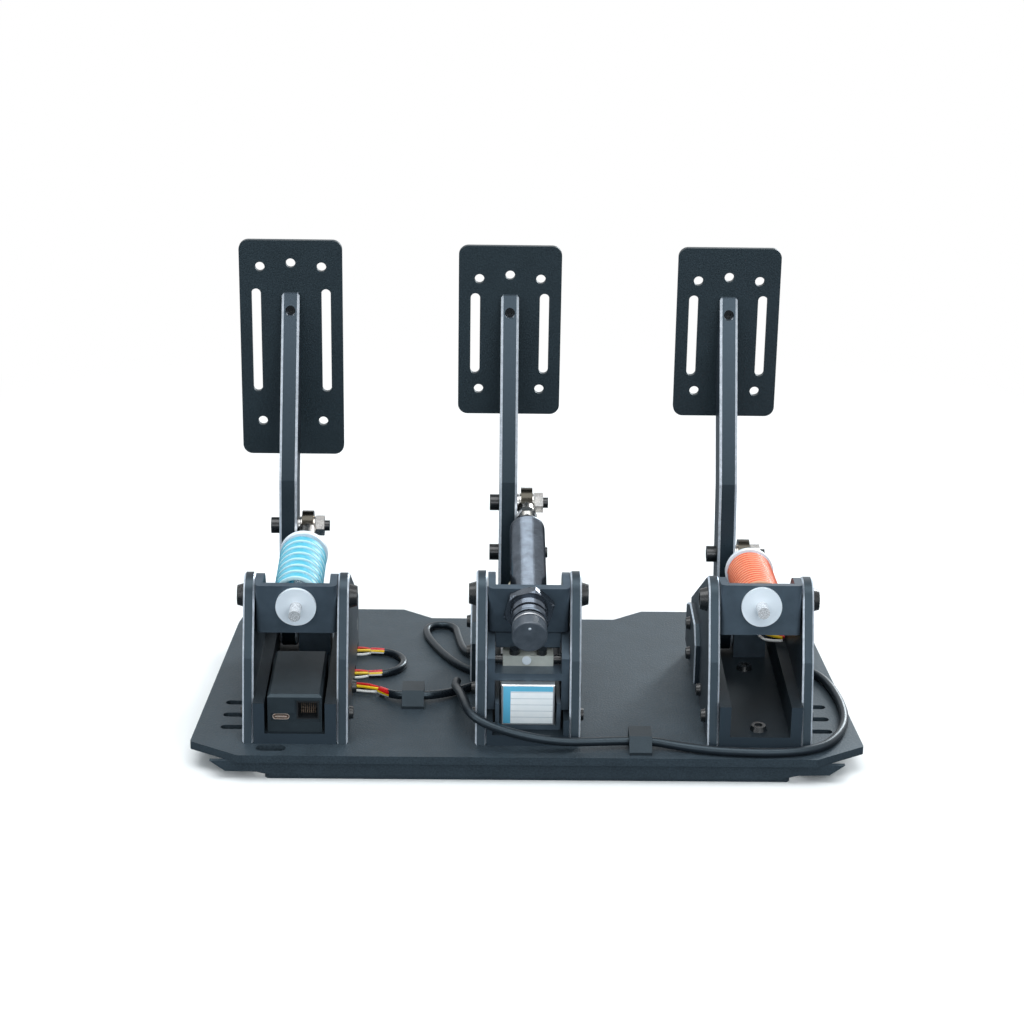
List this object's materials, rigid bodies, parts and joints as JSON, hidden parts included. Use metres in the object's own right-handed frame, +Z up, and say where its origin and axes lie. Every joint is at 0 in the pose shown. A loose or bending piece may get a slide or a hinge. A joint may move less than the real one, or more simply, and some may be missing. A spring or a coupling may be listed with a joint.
{
  "type": "sim racing pedal set",
  "caption": "Throttle, brake and clutch pedals with bent arms, struts, damper and load cell on one slotted base plate.",
  "frame": {"origin": "under the middle of the base, on the surface that the set stands on", "axes": "+X to the driver's right (throttle side), +Y away from the driver, +Z up"},
  "size_m": [0.3588, 0.196, 0.246],
  "materials": {
    "base_coat": "fine textured black powder coat",
    "frame_coat": "black anodised plate with bright cut edges",
    "arm_coat": "black anodised bar with bright chamfers",
    "face_coat": "textured black powder coat",
    "black_steel": "black oxide steel",
    "bare_steel": "ground steel",
    "bright_steel": "plated steel",
    "bare_aluminium": "bare aluminium",
    "case_plastic": "matt black moulded plastic",
    "port_metal": "plated port shells",
    "nylon": "white nylon",
    "spring_blue": "pale blue coated spring wire",
    "spring_orange": "orange coated spring wire",
    "damper_black": "black anodised threaded tube",
    "knob_black": "black anodised knob",
    "elastomer": "cream polyurethane",
    "clip_plastic": "black moulded plastic",
    "lead_jacket": "black cable jacket",
    "wire_jacket": "coloured wire insulation"
  },
  "bodies": {
    "frame": {"base_plate": "base_coat", "base_rails": "base_coat", "bearing_bar": "bare_aluminium", "bottom_plate": "base_coat", "brake_channel": "frame_coat", "brake_side_left": "frame_coat", "brake_side_right": "frame_coat", "cable_clips": "clip_plastic", "cell_cradle": "frame_coat", "cell_yoke": "frame_coat", "clutch_channel": "frame_coat", "clutch_side_left": "frame_coat", "clutch_side_right": "frame_coat", "controller_case": "case_plastic", "controller_lid": "case_plastic", "controller_ports": "port_metal", "frame_screws": "black_steel", "harness_lead": "lead_jacket", "hinge_axles": "bare_steel", "hinge_covers": "frame_coat", "lead_wires": "wire_jacket", "load_cell": "bare_aluminium", "long_lead": "lead_jacket", "loop_lead": "lead_jacket", "sensor_housings": "case_plastic", "sensor_lead": "lead_jacket", "throttle_channel": "frame_coat", "throttle_side_left": "frame_coat", "throttle_side_right": "frame_coat"},
    "throttle_pedal": {"throttle_arm": "arm_coat", "throttle_face_plate": "face_coat", "throttle_arm_bolts": "black_steel"},
    "throttle_carrier": {"throttle_bracket": "frame_coat", "throttle_bush": "nylon", "throttle_spring": "spring_blue"},
    "throttle_plunger": {"throttle_rod": "bright_steel", "throttle_rod_end": "bright_steel", "throttle_spring_cup": "nylon"},
    "clutch_pedal": {"clutch_arm": "arm_coat", "clutch_face_plate": "face_coat", "clutch_arm_bolts": "black_steel"},
    "clutch_carrier": {"clutch_bracket": "frame_coat", "clutch_bush": "nylon", "clutch_spring": "spring_orange"},
    "clutch_plunger": {"clutch_rod": "bright_steel", "clutch_rod_end": "bright_steel", "clutch_spring_cup": "nylon"},
    "brake_pedal": {"brake_arm": "arm_coat", "brake_face_plate": "face_coat", "brake_arm_bolts": "black_steel"},
    "damper_carrier": {"brake_bracket": "frame_coat", "damper_body": "damper_black", "damper_nut": "damper_black"},
    "damper_plunger": {"damper_piston": "bright_steel", "damper_rod_end": "bright_steel"},
    "adjuster": {"damper_knob": "knob_black"},
    "link_carrier": {"link_block": "frame_coat", "elastomers": "elastomer"},
    "link_plunger": {"link_rod": "bright_steel", "link_rod_end": "bright_steel"}
  },
  "joints": [
    {"name": "throttle_press", "type": "hinge", "parent": "frame", "child": "throttle_pedal", "pos_m": [0.1236, -0.0305, 0.035], "axis": [-1, 0, 0], "range_deg": [0, 20], "stiffness_Nm_per_rad": 18},
    {"name": "throttle_tilt", "type": "hinge", "parent": "frame", "child": "throttle_carrier", "pos_m": [0.1236, 0.047, 0.085], "axis": [-1, 0, 0], "range_deg": [0, 2.03]},
    {"name": "throttle_slide", "type": "slide", "parent": "throttle_carrier", "child": "throttle_plunger", "axis": [0, 0.9981, -0.0618], "range_m": [0, 0.0196], "deforming": ["throttle_spring"]},
    {"name": "brake_press", "type": "hinge", "parent": "frame", "child": "brake_pedal", "pos_m": [0, -0.0305, 0.035], "axis": [-1, 0, 0], "range_deg": [0, 7], "stiffness_Nm_per_rad": 120},
    {"name": "damper_tilt", "type": "hinge", "parent": "frame", "child": "damper_carrier", "pos_m": [0, 0.047, 0.087], "axis": [-1, 0, 0], "range_deg": [0, 1.97]},
    {"name": "damper_slide", "type": "slide", "parent": "damper_carrier", "child": "damper_plunger", "axis": [0, 0.9823, -0.1873], "range_m": [0, 0.00822]},
    {"name": "link_tilt", "type": "hinge", "parent": "frame", "child": "link_carrier", "pos_m": [0, 0.0495, 0.063], "axis": [-1, 0, 0], "range_deg": [0, 1.09]},
    {"name": "link_slide", "type": "slide", "parent": "link_carrier", "child": "link_plunger", "axis": [0, 0.9886, -0.1508], "range_m": [0, 0.00502], "deforming": ["elastomers"]},
    {"name": "clutch_press", "type": "hinge", "parent": "frame", "child": "clutch_pedal", "pos_m": [-0.1236, -0.0305, 0.035], "axis": [-1, 0, 0], "range_deg": [0, 20], "stiffness_Nm_per_rad": 16},
    {"name": "clutch_tilt", "type": "hinge", "parent": "frame", "child": "clutch_carrier", "pos_m": [-0.1236, 0.047, 0.085], "axis": [-1, 0, 0], "range_deg": [-0.384, 0]},
    {"name": "clutch_slide", "type": "slide", "parent": "clutch_carrier", "child": "clutch_plunger", "axis": [0, 0.9952, 0.0983], "range_m": [0, 0.01483], "deforming": ["clutch_spring"]},
    {"name": "adjuster_turn", "type": "hinge", "parent": "damper_carrier", "child": "adjuster", "pos_m": [0, 0.08138, 0.08044], "axis": [0, 0.9823, -0.1873], "range_deg": [-150, 150]}
  ],
  "couplings": [
    {"joint": "throttle_tilt", "follows": "throttle_press", "ratio": 0.09888},
    {"joint": "throttle_slide", "follows": "throttle_press", "m_per_rad": 0.055868},
    {"joint": "damper_tilt", "follows": "brake_press", "ratio": 0.27447},
    {"joint": "damper_slide", "follows": "brake_press", "m_per_rad": 0.066448},
    {"joint": "link_tilt", "follows": "brake_press", "ratio": 0.1493},
    {"joint": "link_slide", "follows": "brake_press", "m_per_rad": 0.040273},
    {"joint": "clutch_tilt", "follows": "clutch_press", "ratio": -0.01672},
    {"joint": "clutch_slide", "follows": "clutch_press", "m_per_rad": 0.042184}
  ]
}
